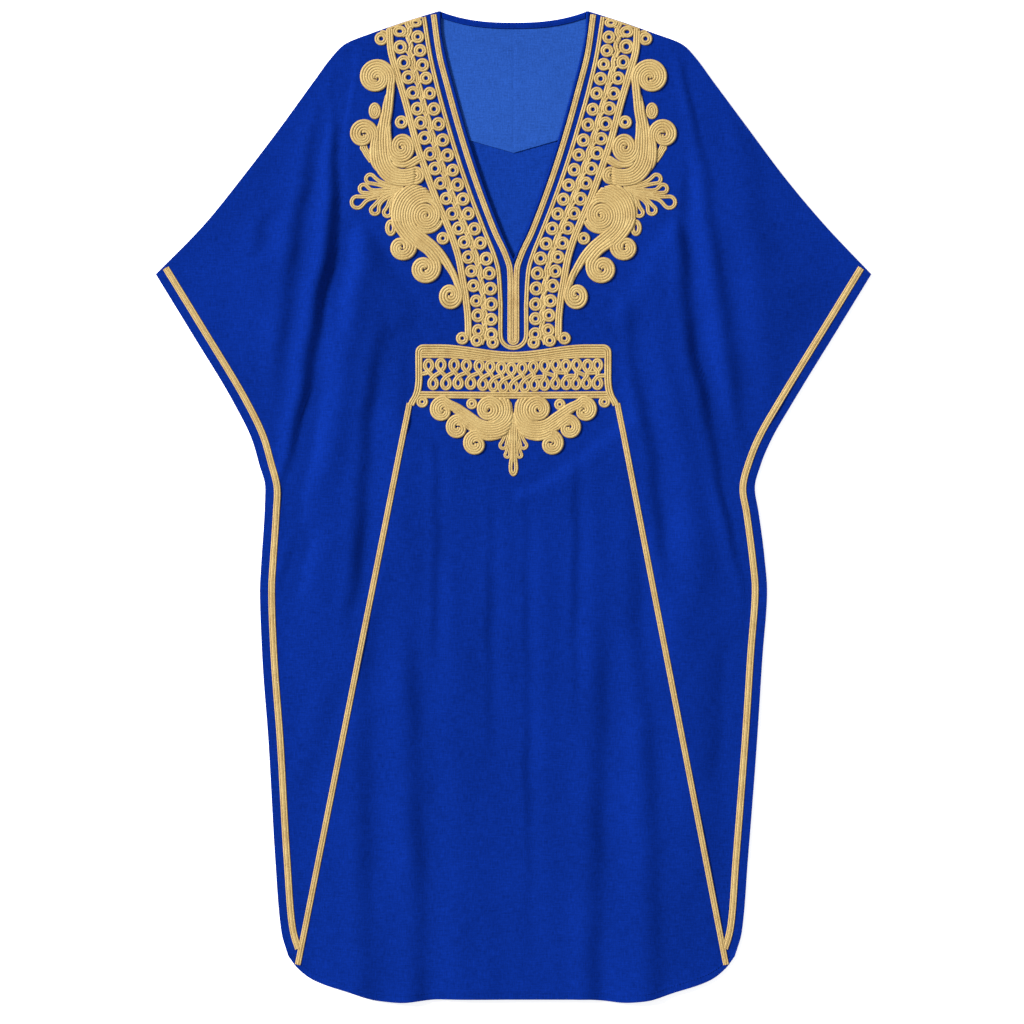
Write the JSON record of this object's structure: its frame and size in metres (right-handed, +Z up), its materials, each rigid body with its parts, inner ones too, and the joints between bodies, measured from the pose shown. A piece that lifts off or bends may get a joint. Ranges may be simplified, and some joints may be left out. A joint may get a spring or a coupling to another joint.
{
  "type": "kaftan dress",
  "caption": "Kaftan dress laid flat, with sleeves cut in one, V neck and gold cord embroidery at neck, waist, cuffs and sides.",
  "frame": {"origin": "under the middle of the garment's outline, on the surface it lies on", "axes": "+X towards the right-hand sleeve as seen from above, +Y towards the neck, +Z up from the surface"},
  "size_m": [0.931, 1.289, 0.0098],
  "materials": {
    "blue_cloth": "plain-woven royal blue cloth, matt with a faint sheen",
    "facing_cloth": "lighter plain-woven blue cloth, matt",
    "gold_cord": "twisted metallic gold cord, soft gloss",
    "gold_braid": "flat braid of metallic gold thread, soft gloss"
  },
  "bodies": {
    "root": {"back_panel": "blue_cloth", "front_panel": "blue_cloth", "back_neck_facing": "facing_cloth", "back_neck_binding": "blue_cloth", "front_neck_binding": "blue_cloth", "neck_braid": "gold_braid", "inner_border": "gold_cord", "belt_panel": "gold_cord", "belt_drop": "gold_cord", "loop_band_left": "gold_cord", "loop_band_right": "gold_cord", "scroll_left": "gold_cord", "scroll_right": "gold_cord", "skirt_braid_left": "gold_braid", "skirt_braid_right": "gold_braid", "side_braid_left": "gold_braid", "side_braid_right": "gold_braid"}
  },
  "joints": []
}
